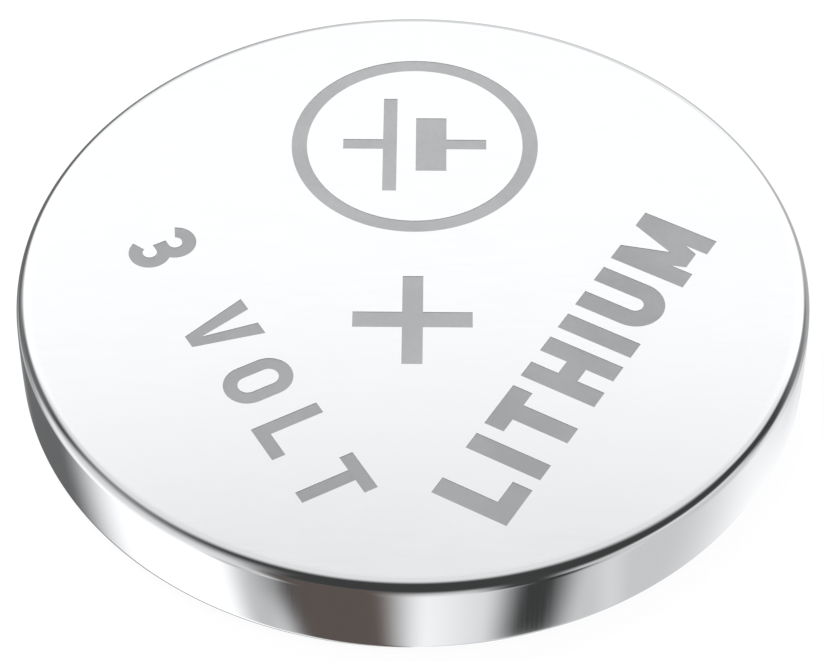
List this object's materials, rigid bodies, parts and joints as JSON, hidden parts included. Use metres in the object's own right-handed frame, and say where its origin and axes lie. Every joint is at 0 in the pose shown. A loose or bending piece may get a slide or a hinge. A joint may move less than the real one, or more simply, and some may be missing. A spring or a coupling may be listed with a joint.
{
  "type": "lithium coin cell",
  "caption": "Flat round lithium cell: a crimped steel can with etched marks on its positive face, sealed by a gasket round a stepped negative cap.",
  "frame": {"origin": "centre of the negative contact face, on which the cell lies", "axes": "+Z from the negative contact face to the positive face, +Y towards the top of the marks, +X to their right"},
  "size_m": [0.02, 0.02, 0.0025],
  "materials": {
    "can_steel": "bright nickel plate, etched marks",
    "cap_steel": "satin",
    "gasket_plastic": "satin",
    "collector_steel": "matte",
    "pellet_black": "matte pressed powder",
    "separator_felt": "matte fibrous",
    "lithium_foil": "satin"
  },
  "bodies": {
    "root": {"positive_can": "can_steel", "sealing_gasket": "gasket_plastic", "negative_cap": "cap_steel", "cathode_collector": "collector_steel", "cathode_pellet": "pellet_black", "separator": "separator_felt", "lithium_anode": "lithium_foil"}
  },
  "joints": []
}
